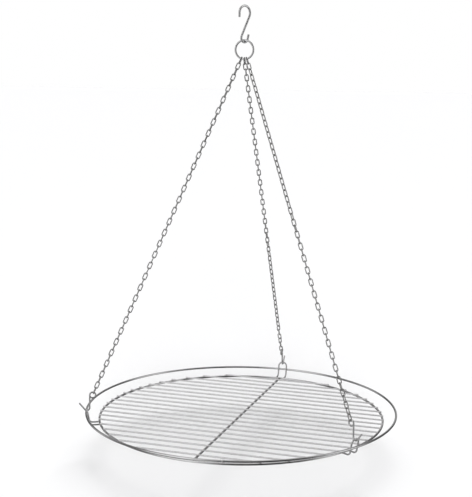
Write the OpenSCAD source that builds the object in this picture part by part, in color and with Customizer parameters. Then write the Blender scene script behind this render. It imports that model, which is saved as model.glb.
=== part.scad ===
// Hanging swing grill: a round wire grate on three link chains, a ring and an S-hook.
// Units are millimetres, +Z is up. The origin is the point where the S-hook hangs,
// on the inside of its upper bend. The grate's rods run along X, its cross bar along Y.

/* [Grate] */
// Outside diameter of the raised rim
rim_diameter = 600; // [500:10:700]
// Wire of the rim, the grate ring and the cross bar
frame_wire = 4; // [3.6:0.2:5]
// Distance between the middles of the rim's wire and the grate ring's wire
rim_offset = 25; // [20:1:30]
// Height of the rim above the grate ring
rim_height = 14; // [12:1:16]
// Wire of the rods
rod_wire = 3; // [2.5:0.5:4]
// Number of rods, an odd number so that one lies on the centre line
rod_count = 21; // [15:2:27]
// How deep welded wires sink into each other
weld_bite = 0.2; // [0.1:0.05:0.3]

/* [Brackets] */
// Wire of the three hanging brackets
bracket_wire = 3; // [2.5:0.5:3.5]
// Distance between the middles of a bracket's two legs
bracket_width = 17; // [15:1:20]
// Height of a bracket's top wire above the grate ring
bracket_height = 29.5; // [26:0.5:32]
// Radius of the bend at a bracket's foot
foot_bend = 7; // [5:0.5:8]

/* [Chains] */
// Wire of the chain links
link_wire = 2; // [1.8:0.1:2.2]
// Outside width of a link
link_width = 8.4; // [8.2:0.1:9]
// Inside length of a link
link_inside = 11.4; // [11:0.1:13]
// Links in each of a chain's four sections
section_links = 15; // [10:1:16]

/* [Grate hooks] */
// Wire of the hooks at the chains' lower ends
hook_wire = 3; // [2.5:0.5:3.2]
// Radius of the hook's closed eye, to the middle of its wire
eye_radius = 5.5; // [5:0.25:6]
// Length of the straight shank between eye and bend
shank_length = 24.5; // [22:0.5:30]
// Radius of the open bend, to the middle of its wire
mouth_radius = 5; // [4.5:0.25:5.5]
// Length of the straight tip
tip_length = 16; // [12:1:18]
// Angle of the tip above the horizontal
tip_angle = 50; // [45:1:60]

/* [Top ring and S-hook] */
// Outside diameter of the ring
ring_diameter = 38; // [36:1:42]
// Wire of the ring
ring_wire = 3.5; // [3:0.1:3.6]
// Wire of the S-hook
s_wire = 4; // [3.5:0.5:4]
// Outside height of the S-hook
s_height = 70; // [65:1:80]
// Radius of the S-hook's upper bend, to the middle of its wire
s_upper_radius = 13; // [12:0.5:14]
// Radius of the S-hook's lower bend, to the middle of its wire
s_lower_radius = 8; // [7.5:0.5:9]

/* [Hidden] */
$fn = 48;
play = 0.15;            // gap between two pieces that hang in each other
side = ["a", "b", "c"]; // the three chains, brackets and hooks
azimuth = [90, 210, 330];
place_on_ring = [0, -20, 16]; // where each chain hangs on the ring, degrees from its bottom
// How each chain is turned on its way down: [share of its length, degrees]
turned_on_the_way = [
    [[0.05, -21], [0.50, -21], [0.68, -66], [0.91, -66]],
    [],
    [[0.05, 26], [0.38, 26], [0.54, 71], [0.88, 71]]
];
s_turn = 60;            // the S-hook's plane, turned from the ring's plane
s_upper_tip = 7;        // straight length beyond the upper bend
s_lower_tip = 8;        // straight length beyond the lower bend
s_lower_sweep = 345;    // where the lower bend ends, so that its tip flares outwards
foot_start = 0.6;       // a bracket's foot starts this far outside the middle of the ring's wire
neck_length = 0.3;      // how far a straight length of wire runs into the bend it joins
neck_step = 0.04;       // how much thinner it is than the bend, so that the two join cleanly
rod_overhang = 1.5;     // a rod's end stands this far proud of the ring's middle

// S-hook and ring: heights of the wire's middle
s_top = s_wire / 2;
s_bottom = s_top + s_wire - s_height;
s_upper_centre = s_top - s_upper_radius;
s_lower_centre = s_bottom + s_lower_radius;
ring_radius = (ring_diameter - ring_wire) / 2;
ring_centre = s_bottom + s_wire / 2 + ring_wire / 2 + play - ring_radius;

// Grate, measured from the middle of the grate ring's wire
rim_radius = (rim_diameter - frame_wire) / 2;
grate_radius = rim_radius - rim_offset;
rod_pitch = 2 * grate_radius / (rod_count + 1);
rod_level = (frame_wire + rod_wire) / 2 - weld_bite;
leg_at_rim = rim_radius - (frame_wire + bracket_wire) / 2 + weld_bite;
leg_lean = 11.7;        // the brackets lean outwards, degrees from upright
bracket_radius = leg_at_rim + (bracket_height - rim_height) * tan(leg_lean);

// Hook, in its own plane: eye at the origin, shank upright at x = eye_radius
mouth_centre = [eye_radius + mouth_radius, -shank_length];
tip_start = mouth_centre + mouth_radius * [sin(tip_angle), -cos(tip_angle)];
tip_end = tip_start + tip_length * [cos(tip_angle), sin(tip_angle)];
seat_depth = mouth_radius - hook_wire / 2 - bracket_wire / 2 - play;

// Chain: the distance from the ring's wire to the bracket's wire along each chain
link_half = (link_inside + link_wire) / 2;
link_pitch = link_inside - play;
links = 1 + 4 * section_links;
top_reach = link_half - link_wire / 2 - ring_wire / 2 - play;
eye_reach = link_half - link_wire / 2 - hook_wire / 2 - play + eye_radius;
seat_reach = norm(mouth_centre) + seat_depth;
chain_reach = top_reach + (links - 1) * link_pitch + eye_reach + seat_reach;
hang_level = ring_centre - ring_radius;
seat_level = hang_level - sqrt(chain_reach * chain_reach - bracket_radius * bracket_radius);
grate_level = seat_level - bracket_height;

function unit(v) = v / norm(v);
function around(angle, radius, z) = [radius * cos(angle), radius * sin(angle), z];
function half_turns(a) = a - 180 * round(a / 180);

// Where chain i leaves the ring, where it pulls on its bracket, and its direction downwards
function hang_point(i) =
    [ring_radius * sin(place_on_ring[i]), 0, ring_centre - ring_radius * cos(place_on_ring[i])];
function seat_point(i) = around(azimuth[i], bracket_radius, seat_level);
function run(i) = unit(seat_point(i) - hang_point(i));
function pitch(i) =
    (norm(seat_point(i) - hang_point(i)) - top_reach - eye_reach - seat_reach) / (links - 1);
function link_centre(i, k) = hang_point(i) + (top_reach + k * pitch(i)) * run(i);
function eye_centre(i) = seat_point(i) - seat_reach * run(i);

// Each link is turned a quarter from the one above, plus a slow turn on the way down that
// ends with the last link square to the hook's eye
function square_to(v, u) = unit(v - (v * u) * u);
function first_normal(i) = square_to([cos(place_on_ring[i]), 0, sin(place_on_ring[i])], run(i));
function eye_normal(i) = square_to(around(azimuth[i] + 90, 1, 0), run(i));
function angle_of(v, i) = atan2(v * cross(run(i), first_normal(i)), v * first_normal(i));
function twist(i) = half_turns(angle_of(eye_normal(i), i) + 90 - 90 * (links - 1));
function slow_turn(i, k) =
    lookup(k / (links - 1), concat([[0, 0]], turned_on_the_way[i], [[1, twist(i)]]));
function link_normal(i, k) =
    let (turn = 90 * k + slow_turn(i, k))
    cos(turn) * first_normal(i) + sin(turn) * cross(run(i), first_normal(i));

// A wire bent to a circle in the XZ plane, between two angles
module bend(centre, radius, from, to, wire) {
    translate([centre[0], 0, centre[1]]) rotate([90, 0, 0]) rotate([0, 0, from])
        rotate_extrude(angle = to - from) translate([radius, 0]) circle(d = wire);
}

// A straight wire up the Z axis that joins a bend at its start, and at its end unless free
module upright(length, wire, free = false) {
    translate([0, 0, -neck_length])
        cylinder(d = wire - neck_step, h = length + (free ? 1 : 2) * neck_length);
}

// A straight wire in the XZ plane, from a bend to another bend or to a free end
module straight(from, to, wire, free = false) {
    translate([from[0], 0, from[1]]) rotate([0, atan2(to[0] - from[0], to[1] - from[1]), 0])
        upright(norm(to - from), wire, free);
}

module ring_of_wire(radius, wire) {
    rotate_extrude($fn = 96) translate([radius, 0]) circle(d = wire);
}

module s_hook() {
    lean = asin((s_upper_radius + s_lower_radius) / (s_upper_centre - s_lower_centre));
    side_way = [cos(lean), -sin(lean)];
    upper = [0, s_upper_centre];
    lower = [0, s_lower_centre];
    lower_end = lower + s_lower_radius * [cos(s_lower_sweep), sin(s_lower_sweep)];
    color("silver") rotate([0, 0, s_turn]) {
        bend(upper, s_upper_radius, -lean, 180, s_wire);
        straight(upper - [s_upper_radius, 0], upper - [s_upper_radius, s_upper_tip], s_wire, true);
        straight(lower - s_lower_radius * side_way, upper + s_upper_radius * side_way, s_wire);
        bend(lower, s_lower_radius, 180 - lean, s_lower_sweep, s_wire);
        straight(lower_end, lower_end + s_lower_tip * [-sin(s_lower_sweep), cos(s_lower_sweep)],
                 s_wire, true);
    }
}

module top_ring() {
    color("silver") translate([0, 0, ring_centre]) rotate([90, 0, 0])
        ring_of_wire(ring_radius, ring_wire);
}

// One link, upright, its hole along Y
module link() {
    bend_radius = (link_width - link_wire) / 2;
    reach = link_half - bend_radius;
    for (up = [0, 1]) rotate([0, 180 * up, 0]) {
        bend([0, reach], bend_radius, 0, 180, link_wire);
        translate([bend_radius, 0, -reach]) cylinder(d = link_wire, h = 2 * reach);
    }
}

module placed_link(i, k) {
    z = -run(i);
    y = link_normal(i, k);
    x = cross(y, z);
    p = link_centre(i, k);
    multmatrix([[x[0], y[0], z[0], p[0]], [x[1], y[1], z[1], p[1]], [x[2], y[2], z[2], p[2]]])
        link();
}

module top_link(i) {
    color("gainsboro") placed_link(i, 0);
}

module chain_section(i, part) {
    first = 1 + part * section_links;
    color("gainsboro") for (k = [first : first + section_links - 1]) placed_link(i, k);
}

// The hook's plane is upright and holds the chain; turned so that the pull passes through
// the eye and the seat of the mouth
module grate_hook(i) {
    slope = acos(-run(i)[2]);
    own_slope = atan2(mouth_centre[0], -mouth_centre[1]);
    color("silver") translate(eye_centre(i)) rotate([0, 0, atan2(run(i)[1], run(i)[0])])
        rotate([0, own_slope - slope, 0]) {
            bend([0, 0], eye_radius, 0, 330, hook_wire);
            straight([eye_radius, -shank_length], [eye_radius, 0], hook_wire);
            bend(mouth_centre, mouth_radius, 180, 270 + tip_angle, hook_wire);
            straight(tip_start, tip_end, hook_wire, true);
        }
}

module grate_ring() {
    color("lightgray") translate([0, 0, grate_level]) ring_of_wire(grate_radius, frame_wire);
}

module rim() {
    color("lightgray") translate([0, 0, grate_level + rim_height])
        ring_of_wire(rim_radius, frame_wire);
}

module cross_bar() {
    color("lightgray") translate([0, 0, grate_level]) rotate([90, 0, 0])
        cylinder(d = frame_wire, h = 2 * (grate_radius - frame_wire / 2 + weld_bite), center = true);
}

// One leg and half the arch of a bracket are in a leaning plane; the foot is level
module bracket(i) {
    half = bracket_width / 2;
    leg_at_ring = leg_at_rim - rim_height * tan(leg_lean);
    bend_reach = foot_bend * tan((90 - leg_lean) / 2);
    leg_bottom = bend_reach;
    leg_top = bracket_height / cos(leg_lean) - half;
    color("silver") translate([0, 0, grate_level]) rotate([0, 0, azimuth[i]])
        translate([leg_at_ring, 0, 0]) {
            rotate([0, leg_lean, 0]) {
                translate([0, 0, leg_top]) rotate([90, 0, 90])
                    rotate_extrude(angle = 180) translate([half, 0]) circle(d = bracket_wire);
                for (s = [-1, 1]) translate([0, s * half, leg_bottom])
                    upright(leg_top - leg_bottom, bracket_wire);
            }
            for (s = [-1, 1]) translate([0, s * half, 0]) {
                bend([-bend_reach, foot_bend], foot_bend, 270, 360 - leg_lean, bracket_wire);
                straight([-bend_reach, 0], [foot_start - leg_at_ring + grate_radius, 0],
                         bracket_wire, true);
            }
        }
}

// Rods lie on the grate ring, counted from -Y to +Y
module rod(k) {
    y = (k - (rod_count - 1) / 2) * rod_pitch;
    half = sqrt(grate_radius * grate_radius - y * y) + rod_overhang;
    color("whitesmoke") translate([-half, y, grate_level + rod_level]) rotate([0, 90, 0])
        cylinder(d = rod_wire, h = 2 * half);
}

function rod_name(k) = str("rod_", k < 9 ? "0" : "", k + 1);
function section_name(i, part) = str("chain_", side[i], "_", part + 1);

s_hook();
top_ring();
grate_ring();
rim();
cross_bar();
for (i = [0 : 2]) {
    top_link(i);
    grate_hook(i);
    bracket(i);
    for (part = [0 : 3])
        chain_section(i, part);
}
for (k = [0 : rod_count - 1])
    rod(k);
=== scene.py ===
"""A round wire grill grate that hangs from three chains, a ring and an S-hook, with its welds
and wire ends. Everything is in metres."""
import math
import bmesh
import bpy
from mathutils import Matrix, Vector, noise


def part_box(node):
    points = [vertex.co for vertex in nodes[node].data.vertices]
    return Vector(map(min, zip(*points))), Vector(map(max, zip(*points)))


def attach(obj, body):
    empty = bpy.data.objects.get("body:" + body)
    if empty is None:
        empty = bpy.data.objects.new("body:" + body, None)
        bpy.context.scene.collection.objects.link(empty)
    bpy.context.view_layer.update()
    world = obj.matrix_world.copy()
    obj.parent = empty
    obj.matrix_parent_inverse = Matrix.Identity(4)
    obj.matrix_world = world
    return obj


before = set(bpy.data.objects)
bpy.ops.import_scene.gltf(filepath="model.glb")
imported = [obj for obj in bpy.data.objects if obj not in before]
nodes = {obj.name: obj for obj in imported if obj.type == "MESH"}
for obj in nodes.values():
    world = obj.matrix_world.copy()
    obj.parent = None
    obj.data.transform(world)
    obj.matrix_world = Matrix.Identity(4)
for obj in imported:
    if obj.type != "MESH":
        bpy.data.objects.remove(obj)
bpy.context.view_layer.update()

SIDES = ("a", "b", "c")
MM = 0.001


# ---------------------------------------------------------------- node materials

GRAIN_SCALE, BLOTCH_SCALE, SPECK_SCALE = 900.0, 38.0, 620.0  # noise cells in a metre
RELIEF_DEPTH = 0.06 * MM
TARNISH = (0.80, 0.775, 0.74)  # what tarnish leaves of the colour
DIRT = (0.45, 0.44, 0.43, 1)


def node_material(name, colour, roughness, bump, lines, tint=0.35):
    """Bright drawn wire: fine lines along the wire, soft blotches and a little tarnish.
    lines is a function that gives the vector along which the lines run, or None for plain grain."""
    material = bpy.data.materials.new(name)
    material.use_nodes = True
    tree = material.node_tree
    tree.nodes.clear()
    new, link = tree.nodes.new, tree.links.new
    out = new("ShaderNodeOutputMaterial")
    shader = new("ShaderNodeBsdfPrincipled")
    link(shader.outputs["BSDF"], out.inputs["Surface"])
    shader.inputs["Metallic"].default_value = 1.0
    where = new("ShaderNodeTexCoord").outputs["Object"]

    def noise_of(vector, scale, detail, rough=0.5):
        n = new("ShaderNodeTexNoise")
        n.inputs["Scale"].default_value = scale
        n.inputs["Detail"].default_value = detail
        n.inputs["Roughness"].default_value = rough
        link(vector, n.inputs["Vector"])
        return n.outputs["Fac"]

    def ramp(value, low, high, first, last):
        r = new("ShaderNodeMapRange")
        r.inputs["From Min"].default_value, r.inputs["From Max"].default_value = low, high
        r.inputs["To Min"].default_value, r.inputs["To Max"].default_value = first, last
        link(value, r.inputs["Value"])
        return r.outputs["Result"]

    drawn = noise_of(lines(tree, where) if lines else where, 1.0 if lines else GRAIN_SCALE, 4.0, 0.6)
    blotch = noise_of(where, BLOTCH_SCALE, 3.0)
    speck = noise_of(where, SPECK_SCALE, 2.0, 0.7)

    mix = new("ShaderNodeMix")
    mix.data_type = "RGBA"
    link(ramp(blotch, 0.35, 0.72, 0.0, tint), mix.inputs["Factor"])
    mix.inputs["A"].default_value = (*colour, 1)
    mix.inputs["B"].default_value = (*(c * kept for c, kept in zip(colour, TARNISH)), 1)
    dirt = new("ShaderNodeMix")
    dirt.data_type = "RGBA"
    dirt.blend_type = "MULTIPLY"
    link(ramp(speck, 0.60, 0.78, 0.0, 0.45), dirt.inputs["Factor"])
    link(mix.outputs["Result"], dirt.inputs["A"])
    dirt.inputs["B"].default_value = DIRT
    link(dirt.outputs["Result"], shader.inputs["Base Color"])

    add = new("ShaderNodeMath")
    add.operation = "ADD"
    link(ramp(drawn, 0.3, 0.7, roughness - 0.05, roughness + 0.09), add.inputs[0])
    link(ramp(speck, 0.55, 0.8, 0.0, 0.16), add.inputs[1])
    link(add.outputs[0], shader.inputs["Roughness"])

    relief = new("ShaderNodeBump")
    relief.inputs["Strength"].default_value = bump
    relief.inputs["Distance"].default_value = RELIEF_DEPTH
    link(drawn, relief.inputs["Height"])
    link(relief.outputs["Normal"], shader.inputs["Normal"])
    return material


ALONG, ACROSS = 30, 2600  # scale of the noise along the drawn lines and across them


def stretched(*scale):
    """Lines along the axis whose scale is the smallest."""
    def build(tree, where):
        m = tree.nodes.new("ShaderNodeMapping")
        m.inputs["Scale"].default_value = scale
        tree.links.new(where, m.inputs["Vector"])
        return m.outputs["Vector"]
    return build


def round_axis(radius):
    """Lines round the Z axis: angle, distance from the axis and height in place of X, Y and Z."""
    def build(tree, where):
        new, link = tree.nodes.new, tree.links.new
        parts = new("ShaderNodeSeparateXYZ")
        link(where, parts.inputs[0])
        angle = new("ShaderNodeMath")
        angle.operation = "ARCTAN2"
        link(parts.outputs["Y"], angle.inputs[0])
        link(parts.outputs["X"], angle.inputs[1])
        flat = new("ShaderNodeCombineXYZ")
        link(parts.outputs["X"], flat.inputs["X"])
        link(parts.outputs["Y"], flat.inputs["Y"])
        length = new("ShaderNodeVectorMath")
        length.operation = "LENGTH"
        link(flat.outputs[0], length.inputs[0])
        join = new("ShaderNodeCombineXYZ")
        for value, scale, socket in ((angle.outputs[0], radius * ALONG, "X"),
                                     (length.outputs["Value"], ACROSS, "Y"),
                                     (parts.outputs["Z"], ACROSS, "Z")):
            times = new("ShaderNodeMath")
            times.operation = "MULTIPLY"
            times.inputs[1].default_value = scale
            link(value, times.inputs[0])
            link(times.outputs[0], join.inputs[socket])
        return join.outputs[0]
    return build


grate_low, grate_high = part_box("grate_ring")
rim_low, rim_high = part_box("rim")
frame_wire = grate_high.z - grate_low.z
grate_radius = (grate_high.x - grate_low.x - frame_wire) / 2
rim_radius = (rim_high.x - rim_low.x - frame_wire) / 2
grate_level = (grate_high.z + grate_low.z) / 2
rim_level = (rim_high.z + rim_low.z) / 2

materials = {
    "rod": node_material("rod_steel", (0.795, 0.787, 0.80), 0.26, 0.35,
                         stretched(ALONG, ACROSS, ACROSS)),
    "bar": node_material("bar_steel", (0.74, 0.74, 0.745), 0.20, 0.35,
                         stretched(ACROSS, ALONG, ACROSS)),
    # The ring and rim are the same plated steel as the rods and hook; their darker colour is painted
    # shade, standing in for the dark reflections along their fronts
    "ring": node_material("ring_steel", (0.70, 0.70, 0.705), 0.15, 0.3, round_axis(grate_radius)),
    "rim": node_material("rim_steel", (0.70, 0.70, 0.705), 0.15, 0.3, round_axis(rim_radius)),
    "chain": node_material("chain_steel", (0.62, 0.62, 0.62), 0.22, 0.5, None, 0.6),
    "hook": node_material("hook_steel", (0.80, 0.80, 0.805), 0.17, 0.35, None),
    "weld": node_material("weld_metal", (0.66, 0.655, 0.65), 0.30, 0.9, None, 0.8),
    "chain_weld": node_material("chain_weld_metal", (0.56, 0.555, 0.55), 0.30, 0.8, None, 0.8),
}


def dress(node, material):
    slots = nodes[node].data.materials
    slots.clear()
    slots.append(material)
    for polygon in nodes[node].data.polygons:
        polygon.material_index = 0


for name in nodes:
    if name.startswith("rod_"):
        dress(name, materials["rod"])
    elif name == "cross_bar":
        dress(name, materials["bar"])
    elif name == "grate_ring":
        dress(name, materials["ring"])
    elif name == "rim":
        dress(name, materials["rim"])
    elif name.startswith(("chain_", "top_link_")):
        dress(name, materials["chain"])
    else:
        dress(name, materials["hook"])

# ---------------------------------------------------------------- welds and wire ends

LUMP_GRAIN, SLEEVE_GRAIN = 1.3 * MM, 0.9 * MM  # size of the unevenness of a bead and of a sleeve
DOME_ROOT = 0.3 * MM  # how far a dome reaches into its wire


class Shape:
    """Collects the points and faces of one piece."""

    def __init__(self):
        self.points, self.faces = [], []

    def rings(self, loops):
        """A skin over closed loops of the same number of points, with both its ends filled."""
        start, sides = len(self.points), len(loops[0])
        for loop in loops:
            self.points.extend(loop)
        for row in range(len(loops) - 1):
            for j in range(sides):
                a, b = start + row * sides + j, start + row * sides + (j + 1) % sides
                self.faces.append((a, b, b + sides, a + sides))
        last = start + (len(loops) - 1) * sides
        self.faces.append(tuple(start + j for j in reversed(range(sides))))
        self.faces.append(tuple(last + j for j in range(sides)))

    def piece(self, name, body, slot, material):
        mesh = bpy.data.meshes.new(name)
        mesh.from_pydata([tuple(p) for p in self.points], [], self.faces)
        mesh.polygons.foreach_set("use_smooth", [True] * len(mesh.polygons))
        mesh.materials.append(material)
        mesh.update()
        made = bpy.data.objects.new(name, mesh)
        bpy.context.scene.collection.objects.link(made)
        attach(made, body)
        return made


def square_axes(direction):
    """Two directions square to this one and to each other."""
    direction = direction.normalized()
    helper = Vector((0, 0, 1)) if abs(direction.z) < 0.9 else Vector((1, 0, 0))
    first = direction.cross(helper).normalized()
    return first, direction.cross(first)


def lump(shape, centre, long_half, wide_half, high_half, rough=0.14, rows=8, sides=14):
    """A bead of melted metal: an egg on three half axes (vectors), made uneven by noise."""
    pole = 0.12
    loops = []
    for row in range(rows + 1):
        polar = pole + (math.pi - 2 * pole) * row / rows
        loop = []
        for j in range(sides):
            turned = 2 * math.pi * j / sides
            spot = (long_half * math.sin(polar) * math.cos(turned)
                    + wide_half * math.sin(polar) * math.sin(turned)
                    - high_half * math.cos(polar))
            loop.append(centre + spot * (1 + rough * noise.noise((centre + spot) / LUMP_GRAIN)))
        loops.append(loop)
    shape.rings(loops)


def sleeve(shape, path, wire, bulge, rough=0.25, sides=12):
    """A thickening of a wire along path: thickest in the middle, and inside the wire at both ends."""
    sunk = 0.05 * MM
    loops = []
    for row, centre in enumerate(path):
        before, after = path[max(row - 1, 0)], path[min(row + 1, len(path) - 1)]
        first, second = square_axes(after - before)
        swell = math.sin(math.pi * row / (len(path) - 1)) ** 2
        loop = []
        for j in range(sides):
            turned = 2 * math.pi * j / sides
            outwards = first * math.cos(turned) + second * math.sin(turned)
            uneven = 1 + rough * noise.noise((centre + outwards * wire) / SLEEVE_GRAIN)
            loop.append(centre + outwards * (wire / 2 - sunk + (bulge + sunk) * swell * uneven))
        loops.append(loop)
    shape.rings(loops)


def dome(shape, centre, outwards, wire, height, sides=16, rows=4):
    """The rounded, deburred end of a cut wire."""
    first, second = square_axes(outwards)
    outwards = outwards.normalized()
    radius = wire / 2 - 0.01 * MM
    loops = [[centre - outwards * DOME_ROOT
              + radius * (first * math.cos(t) + second * math.sin(t))
              for t in (2 * math.pi * j / sides for j in range(sides))]]
    for row in range(rows + 1):
        angle = 0.5 * math.pi * 0.93 * row / rows
        out, round_it = height * math.sin(angle), radius * math.cos(angle) ** 0.7
        loops.append([centre + outwards * out
                      + round_it * (first * math.cos(t) + second * math.sin(t))
                      for t in (2 * math.pi * j / sides for j in range(sides))])
    shape.rings(loops)


rod_names = sorted(name for name in nodes if name.startswith("rod_"))
rod_low, rod_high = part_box(rod_names[0])
rod_wire = rod_high.z - rod_low.z
up_way = Vector((0, 0, 1))

# Half sizes of the beads: for the first two along the rod, across it and upwards; for the bar's
# ends along X, Y and Z; for the feet and legs outwards, sideways and upwards
RING_BEAD = (1.35 * MM, 1.75 * MM, 0.95 * MM)
BAR_BEAD = (1.7 * MM, 1.55 * MM, 0.8 * MM)
BAR_END_BEAD = (2.9 * MM, 1.5 * MM, 2.15 * MM)
FOOT_BEAD = (1.3 * MM, 2.3 * MM, 1.9 * MM)
LEG_BEAD = (0.95 * MM, 2.0 * MM, 2.1 * MM)
LONGEST_BEAD = 4.2 * MM  # where a rod crosses the ring at a slant
FUSED = 0.1 * MM  # how far the two wires have sunk into each other
ROD_DOME = 0.45 * MM

# Where each rod crosses the ring and the bar, the two wires are fused together
crossings, rod_ends = Shape(), Shape()
contact_level = grate_level + frame_wire / 2 - FUSED
for name in rod_names:
    low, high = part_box(name)
    y, z = (low.y + high.y) / 2, (low.z + high.z) / 2
    across = math.sqrt(grate_radius ** 2 - y * y)
    along_rod = Vector((1, 0, 0))
    for s in (-1, 1):
        spot = Vector((s * across, y, contact_level))
        along_ring = Vector((-y, s * across, 0)).normalized()
        if along_ring.dot(along_rod) < 0:
            along_ring = -along_ring
        half_angle = 0.5 * math.acos(min(1, along_ring.dot(along_rod)))
        bisector = (along_ring + along_rod).normalized()
        long_half = min(RING_BEAD[0] / math.sin(max(half_angle, 0.2)), LONGEST_BEAD)
        lump(crossings, spot, bisector * long_half, bisector.cross(up_way) * RING_BEAD[1],
             up_way * RING_BEAD[2])
        dome(rod_ends, Vector((low.x if s < 0 else high.x, y, z)), Vector((s, 0, 0)), rod_wire,
             ROD_DOME)
    lump(crossings, Vector((0, y, contact_level)), Vector((BAR_BEAD[0], 0, 0)),
         Vector((0, BAR_BEAD[1], 0)), up_way * BAR_BEAD[2])
crossings.piece("crossing_welds", "grate", "rod_wire", materials["weld"])
rod_ends.piece("rod_ends", "grate", "rod_wire", materials["rod"])

# The bar's ends, and the brackets' feet and legs, are welded on all round
BRACKET_WIRE, HOOK_WIRE, S_HOOK_WIRE = 3.0 * MM, 3.0 * MM, 4.0 * MM
joints = Shape()
for s in (-1, 1):
    lump(joints, Vector((0, s * (grate_radius - frame_wire / 2), grate_level)),
         Vector((BAR_END_BEAD[0], 0, 0)), Vector((0, BAR_END_BEAD[1], 0)),
         up_way * BAR_END_BEAD[2])
bracket_low, bracket_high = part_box("bracket_a")
leg_half = (bracket_high.x - bracket_low.x - BRACKET_WIRE) / 2
for letter in SIDES:
    low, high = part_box("bracket_" + letter)
    middle = (low + high) / 2
    outwards = Vector((middle.x, middle.y, 0)).normalized()
    sideways = up_way.cross(outwards)
    for s in (-1, 1):
        foot = outwards * (grate_radius + frame_wire / 2) + sideways * s * leg_half
        lump(joints, foot + up_way * grate_level, outwards * FOOT_BEAD[0],
             sideways * FOOT_BEAD[1], up_way * FOOT_BEAD[2], 0.16)
        leg = outwards * (rim_radius - frame_wire / 2) + sideways * s * leg_half
        lump(joints, leg + up_way * rim_level, outwards * LEG_BEAD[0],
             sideways * LEG_BEAD[1], up_way * LEG_BEAD[2], 0.16)
joints.piece("frame_welds", "grate", "frame_wire", materials["weld"])


def arc_path(centre, first, second, radius, middle, length, steps=12):
    """Points along a circle, over a short length round an angle in degrees."""
    points = []
    for row in range(steps + 1):
        angle = math.radians(middle) + (row / steps - 0.5) * length / radius
        points.append(centre + radius * (first * math.cos(angle) + second * math.sin(angle)))
    return points


# The butt welds that close the two large rings and the small one
x_way, y_way = Vector((1, 0, 0)), Vector((0, 1, 0))
butts = Shape()
sleeve(butts, arc_path(up_way * grate_level, x_way, y_way, grate_radius, 222, 7.0 * MM),
       frame_wire, 0.26 * MM)
sleeve(butts, arc_path(up_way * rim_level, x_way, y_way, rim_radius, 282, 7.5 * MM),
       frame_wire, 0.28 * MM)
butts.piece("ring_butt_welds", "grate", "frame_wire", materials["weld"])
top_low, top_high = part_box("top_ring")
top_wire = top_high.y - top_low.y
top_radius = (top_high.x - top_low.x - top_wire) / 2
small_butt = Shape()
sleeve(small_butt, arc_path((top_low + top_high) / 2, x_way, up_way, top_radius, 38, 4.5 * MM),
       top_wire, 0.22 * MM)
small_butt.piece("top_ring_weld", "top_ring", "top_ring", materials["weld"])


def clusters(items, neighbours):
    """Lists of the items that hang together; neighbours gives those next to an item, and is
    also told the first item of its list."""
    seen_items = set()
    for start in items:
        if start in seen_items:
            continue
        seen_items.add(start)
        group, edge = [], [start]
        while edge:
            item = edge.pop()
            group.append(item)
            for other in neighbours(item, start):
                if other not in seen_items:
                    seen_items.add(other)
                    edge.append(other)
        yield group


# Every chain link is closed by a weld in the middle of one side
def islands(node):
    """The points of each separate solid in a CAD node."""
    bm = bmesh.new()
    bm.from_mesh(nodes[node].data)
    bmesh.ops.remove_doubles(bm, verts=bm.verts, dist=0.002 * MM)
    found = [[point.co.copy() for point in group] for group in
             clusters(bm.verts, lambda v, first: [e.other_vert(v) for e in v.link_edges])]
    bm.free()
    return found


def main_axis(matrix):
    """The direction in which a 3 x 3 matrix stretches most."""
    direction = Vector((0.48, 0.61, 0.63))
    for _ in range(60):
        direction = (matrix @ direction).normalized()
    return direction


def link_axes(group):
    """Middle, long direction and wide direction of a link."""
    centre = sum(group, Vector()) / len(group)
    spread = Matrix(((0, 0, 0),) * 3)
    for point in group:
        arm = point - centre
        for row in range(3):
            for column in range(3):
                spread[row][column] += arm[row] * arm[column] * 1e6
    long_way = main_axis(spread)
    size = sum(spread[k][k] for k in range(3))
    normal = main_axis(Matrix.Identity(3) * size - spread)
    return centre, long_way, normal.cross(long_way).normalized()


LINK_WIRE = 2.0 * MM
LINK_WIDTH = 8.4 * MM
LINK_WELD = 3.0 * MM
LINK_WELD_STEPS = 7
for letter in SIDES:
    for name in ["top_link_" + letter] + ["chain_%s_%d" % (letter, k) for k in range(1, 5)]:
        link_welds = Shape()
        for number, group in enumerate(islands(name)):
            centre, long_way, wide_way = link_axes(group)
            if (wide_way.x + 2 * wide_way.y + 3 * wide_way.z) * (-1) ** (number // 2) < 0:
                wide_way = -wide_way
            middle = centre + wide_way * (LINK_WIDTH - LINK_WIRE) / 2
            path = [middle + long_way * (row / LINK_WELD_STEPS - 0.5) * LINK_WELD
                    for row in range(LINK_WELD_STEPS + 1)]
            sleeve(link_welds, path, LINK_WIRE, 0.17 * MM, 0.35, 10)
        link_welds.piece(name + "_welds", name, "chain_wire", materials["chain_weld"])


# The cut ends of the bent wires are rounded off
def flat_ends(node, wire):
    """Middle and direction of each flat round face in a CAD node, as wide as its wire."""
    bm = bmesh.new()
    bm.from_mesh(nodes[node].data)
    full = math.pi * wire * wire / 4
    found = []
    for group in clusters(bm.faces, lambda face, first: [
            f for e in face.edges for f in e.link_faces if f.normal.dot(first.normal) > 0.9999]):
        area = sum(face.calc_area() for face in group)
        if 0.85 * full < area < 1.1 * full:
            middle = sum((face.calc_center_median() * face.calc_area() for face in group),
                         Vector()) / area
            if max((v.co - middle).length for face in group for v in face.verts) < 0.6 * wire:
                found.append((middle, group[0].normal.copy()))
    bm.free()
    return found


for name, wire, slot in ([("s_hook", S_HOOK_WIRE, "s_hook")]
                         + [("grate_hook_" + letter, HOOK_WIRE, "hook_wire") for letter in SIDES]):
    ends = Shape()
    for middle, outwards in flat_ends(name, wire):
        dome(ends, middle, outwards, wire - 0.04 * MM, 0.24 * wire)
    ends.piece(name + "_ends", name, slot, materials["hook"])

# ---------------------------------------------------------------- stage

FLOOR_GAP = 0.06  # the floor lies this far below the grate, so that its rim can swing
FLOOR_HALF = 30.0

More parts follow.
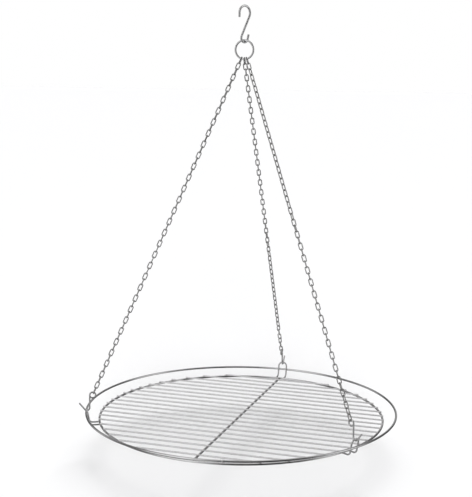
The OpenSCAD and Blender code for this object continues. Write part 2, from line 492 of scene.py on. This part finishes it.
floor_mesh = bpy.data.meshes.new("floor")
floor_mesh.from_pydata([(x * FLOOR_HALF, y * FLOOR_HALF, grate_level - FLOOR_GAP)
                        for x, y in ((-1, -1), (1, -1), (1, 1), (-1, 1))], [], [(0, 1, 2, 3)])
floor = bpy.data.objects.new("floor", floor_mesh)
bpy.context.scene.collection.objects.link(floor)
paper = bpy.data.materials.new("floor_paper")
paper.use_nodes = True
PAPER = (0.9, 0.9, 0.905, 1)
for socket, value in (("Base Color", PAPER), ("Roughness", 0.9),
                      ("Specular IOR Level", 0.1)):
    paper.node_tree.nodes["Principled BSDF"].inputs[socket].default_value = value
floor_mesh.materials.append(paper)
floor.visible_glossy = False

world = bpy.data.worlds.new("studio")
bpy.context.scene.world = world
world.use_nodes = True
tree = world.node_tree
tree.nodes.clear()


def world_node(kind, **inputs):
    node = tree.nodes.new(kind)
    for name, value in inputs.items():
        if isinstance(value, bpy.types.NodeSocket):
            tree.links.new(value, node.inputs[name])
        else:
            node.inputs[name].default_value = value
    return node


def maths(operation, first, second=0.0):
    node = tree.nodes.new("ShaderNodeMath")
    node.operation = operation
    for socket, value in zip(node.inputs, (first, second)):
        if isinstance(value, bpy.types.NodeSocket):
            tree.links.new(value, socket)
        else:
            socket.default_value = value
    return node.outputs[0]


# What the bright wires mirror: a dark room with soft boxes round it and a pale ceiling.
# Each entry is a bearing in degrees, 0 towards -Y and 90 towards +X, and how bright it is there.
ROOM = ((0, 0.10), (30, 0.05), (74, 0.07), (88, 1.0), (108, 1.0), (122, 0.12), (160, 0.10),
        (176, 0.42), (196, 0.42), (212, 0.12), (236, 0.10), (250, 0.6), (264, 0.6), (280, 0.10),
        (300, 0.16), (312, 1.18), (339, 1.18), (347, 0.66), (356, 0.38))
CEILING = (0.9, 0.9, 0.9, 1)
SEEN = (1.0, 1.0, 1.0, 1)  # the background itself
FILL = (0.18, 0.18, 0.182, 1)  # the soft light from all sides
direction = world_node("ShaderNodeTexCoord").outputs["Generated"]
parts = world_node("ShaderNodeSeparateXYZ", Vector=direction)
bearing = maths("ARCTAN2", parts.outputs["X"], maths("MULTIPLY", parts.outputs["Y"], -1.0))
turn = maths("FRACT", maths("ADD", maths("DIVIDE", bearing, 2 * math.pi), 1.0))
room = tree.nodes.new("ShaderNodeValToRGB")
tree.links.new(turn, room.inputs["Fac"])
room.color_ramp.interpolation = "EASE"
while len(room.color_ramp.elements) < len(ROOM):
    room.color_ramp.elements.new(0.5)
for element, (angle, level) in zip(room.color_ramp.elements, ROOM):
    element.position = angle / 360
    element.color = (level, level, level * 1.005, 1)
ceiling = world_node("ShaderNodeMapRange", Value=parts.outputs["Z"])
ceiling.interpolation_type = "SMOOTHSTEP"
for socket, value in (("From Min", 0.80), ("From Max", 0.97), ("To Min", 0.0), ("To Max", 0.75)):
    ceiling.inputs[socket].default_value = value
shade = world_node("ShaderNodeMapRange", Value=parts.outputs["Z"])
shade.interpolation_type = "SMOOTHSTEP"
for socket, value in (("From Min", -0.30), ("From Max", 0.05), ("To Min", 0.74), ("To Max", 1.0)):
    shade.inputs[socket].default_value = value
walls = tree.nodes.new("ShaderNodeVectorMath")
walls.operation = "SCALE"
tree.links.new(room.outputs["Color"], walls.inputs[0])
tree.links.new(shade.outputs["Result"], walls.inputs["Scale"])
mirrored = tree.nodes.new("ShaderNodeMix")
mirrored.data_type = "RGBA"
tree.links.new(ceiling.outputs["Result"], mirrored.inputs["Factor"])
tree.links.new(walls.outputs[0], mirrored.inputs["A"])
mirrored.inputs["B"].default_value = CEILING
path = tree.nodes.new("ShaderNodeLightPath")
seen = tree.nodes.new("ShaderNodeMix")
seen.data_type = "RGBA"
tree.links.new(path.outputs["Is Camera Ray"], seen.inputs["Factor"])
seen.inputs["A"].default_value = FILL
seen.inputs["B"].default_value = SEEN
chosen = tree.nodes.new("ShaderNodeMix")
chosen.data_type = "RGBA"
tree.links.new(path.outputs["Is Glossy Ray"], chosen.inputs["Factor"])
tree.links.new(seen.outputs["Result"], chosen.inputs["A"])
tree.links.new(mirrored.outputs["Result"], chosen.inputs["B"])
background = world_node("ShaderNodeBackground")
tree.links.new(chosen.outputs["Result"], background.inputs["Color"])
tree.links.new(background.outputs[0], world_node("ShaderNodeOutputWorld").inputs["Surface"])


def sun(name, strength, spread, azimuth, elevation):
    """A soft box far away: its strength, how wide it looks and where it stands, in degrees."""
    light = bpy.data.lights.new(name, "SUN")
    light.energy = strength
    light.angle = math.radians(spread)
    lamp = bpy.data.objects.new(name, light)
    lamp.visible_glossy = False
    a, e = math.radians(azimuth), math.radians(elevation)
    towards = Vector((math.sin(a) * math.cos(e), -math.cos(a) * math.cos(e), math.sin(e)))
    lamp.rotation_euler = towards.to_track_quat("Z", "Y").to_euler()
    bpy.context.scene.collection.objects.link(lamp)


sun("back_softbox", 3.05, 40, 192, 46)
sun("front_softbox", 3.6, 20, 18, 13)

# ---------------------------------------------------------------- camera

VIEW_AZIMUTH, VIEW_ELEVATION, VIEW_ROLL = 18.03, 9.35, -0.48
# the camera's place from the grate's middle: back, to the left and up, in the camera's own axes
DISTANCE, TO_THE_LEFT, RAISED = 2.1717, 0.0125, 0.3232
SENSOR = 36.0  # mm
FOCAL_LENGTH = 80.9457  # mm
a, e, r = (math.radians(v) for v in (VIEW_AZIMUTH, VIEW_ELEVATION, VIEW_ROLL))
back = Vector((math.sin(a) * math.cos(e), -math.cos(a) * math.cos(e), math.sin(e)))
right = Vector((math.cos(a), math.sin(a), 0))
up = back.cross(right)
eye = Vector((0, 0, grate_level)) + DISTANCE * back - TO_THE_LEFT * right + RAISED * up
axis_x = math.cos(r) * right - math.sin(r) * up
axis_y = math.sin(r) * right + math.cos(r) * up
camera_data = bpy.data.cameras.new("camera")
camera_data.sensor_width = SENSOR
camera_data.lens = FOCAL_LENGTH
camera = bpy.data.objects.new("camera", camera_data)
bpy.context.scene.collection.objects.link(camera)
camera.matrix_world = Matrix((axis_x, axis_y, back)).transposed().to_4x4()
camera.matrix_world.translation = eye
bpy.context.scene.camera = camera
bpy.context.scene.view_settings.view_transform = "Standard"
